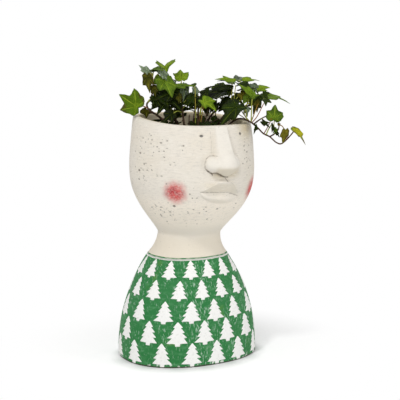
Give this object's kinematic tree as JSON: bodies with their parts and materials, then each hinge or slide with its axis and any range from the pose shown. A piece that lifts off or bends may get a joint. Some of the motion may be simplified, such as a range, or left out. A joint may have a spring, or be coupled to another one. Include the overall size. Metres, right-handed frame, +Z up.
{
  "type": "cement flower pot",
  "caption": "Bust-shaped cement planter: open cup head with a simple face, oval painted torso with rows of fir trees, and a potted ivy that lifts out of the head.",
  "frame": {"origin": "middle of the flat underside, on the surface that the pot stands on", "axes": "+Z up, the face looks along -Y, +X to the viewer's right when facing it"},
  "size_m": [0.2018, 0.178, 0.3707],
  "materials": {
    "cement": "matte cast cement, painted torso",
    "plug_rubber": "matte",
    "grower_plastic": "matte",
    "compost": "crumbly",
    "ivy_bark": "bark",
    "leaf_lime": "satin leaf",
    "leaf_mid": "satin leaf",
    "leaf_dark": "satin leaf",
    "leaf_grey": "satin leaf",
    "leaf_olive": "satin leaf"
  },
  "bodies": {
    "pot": {"cement_pot": "cement"},
    "plug": {"drain_plug": "plug_rubber"},
    "plant": {"grower_pot": "grower_plastic", "root_ball": "compost", "ivy_stem_left": "ivy_bark", "ivy_stem_left_inner": "ivy_bark", "ivy_stem_middle": "ivy_bark", "ivy_stem_front": "ivy_bark", "ivy_stem_back": "ivy_bark", "ivy_stem_right_back": "ivy_bark", "ivy_stem_right_inner": "ivy_bark", "ivy_stem_right": "ivy_bark", "ivy_stem_runner": "ivy_bark", "ivy_stem_runner_shoot": "ivy_bark", "ivy_stem_runner_sprig": "ivy_bark", "ivy_leaf_01": "leaf_lime", "ivy_leaf_02": "leaf_mid", "ivy_leaf_03": "leaf_grey", "ivy_leaf_04": "leaf_olive", "ivy_leaf_05": "leaf_olive", "ivy_leaf_06": "leaf_mid", "ivy_leaf_07": "leaf_dark", "ivy_leaf_08": "leaf_grey", "ivy_leaf_09": "leaf_lime", "ivy_leaf_10": "leaf_mid", "ivy_leaf_11": "leaf_grey", "ivy_leaf_12": "leaf_dark", "ivy_leaf_13": "leaf_dark", "ivy_leaf_14": "leaf_lime", "ivy_leaf_15": "leaf_olive", "ivy_leaf_16": "leaf_lime", "ivy_leaf_17": "leaf_dark", "ivy_leaf_18": "leaf_dark", "ivy_leaf_19": "leaf_mid", "ivy_leaf_20": "leaf_grey", "ivy_leaf_21": "leaf_lime", "ivy_leaf_22": "leaf_dark", "ivy_leaf_23": "leaf_lime", "ivy_leaf_24": "leaf_mid", "ivy_leaf_25": "leaf_mid", "ivy_leaf_26": "leaf_dark", "ivy_leaf_27": "leaf_dark", "ivy_leaf_28": "leaf_mid", "ivy_leaf_29": "leaf_dark", "ivy_leaf_30": "leaf_dark", "ivy_leaf_31": "leaf_dark", "ivy_leaf_32": "leaf_lime", "ivy_leaf_33": "leaf_olive", "ivy_leaf_34": "leaf_dark", "ivy_leaf_35": "leaf_dark", "ivy_leaf_36": "leaf_mid", "ivy_leaf_37": "leaf_dark", "ivy_leaf_38": "leaf_dark", "ivy_leaf_39": "leaf_mid", "ivy_leaf_40": "leaf_mid", "ivy_leaf_41": "leaf_dark", "ivy_leaf_42": "leaf_dark", "ivy_leaf_43": "leaf_dark", "ivy_leaf_44": "leaf_dark"}
  },
  "joints": [
    {"name": "plant_lift", "type": "slide", "parent": "pot", "child": "plant", "axis": [0, 0, 1], "range_m": [0, 0.2]},
    {"name": "plug_pull", "type": "slide", "parent": "pot", "child": "plug", "axis": [0, 0, -1], "range_m": [0, 0.02]}
  ]
}
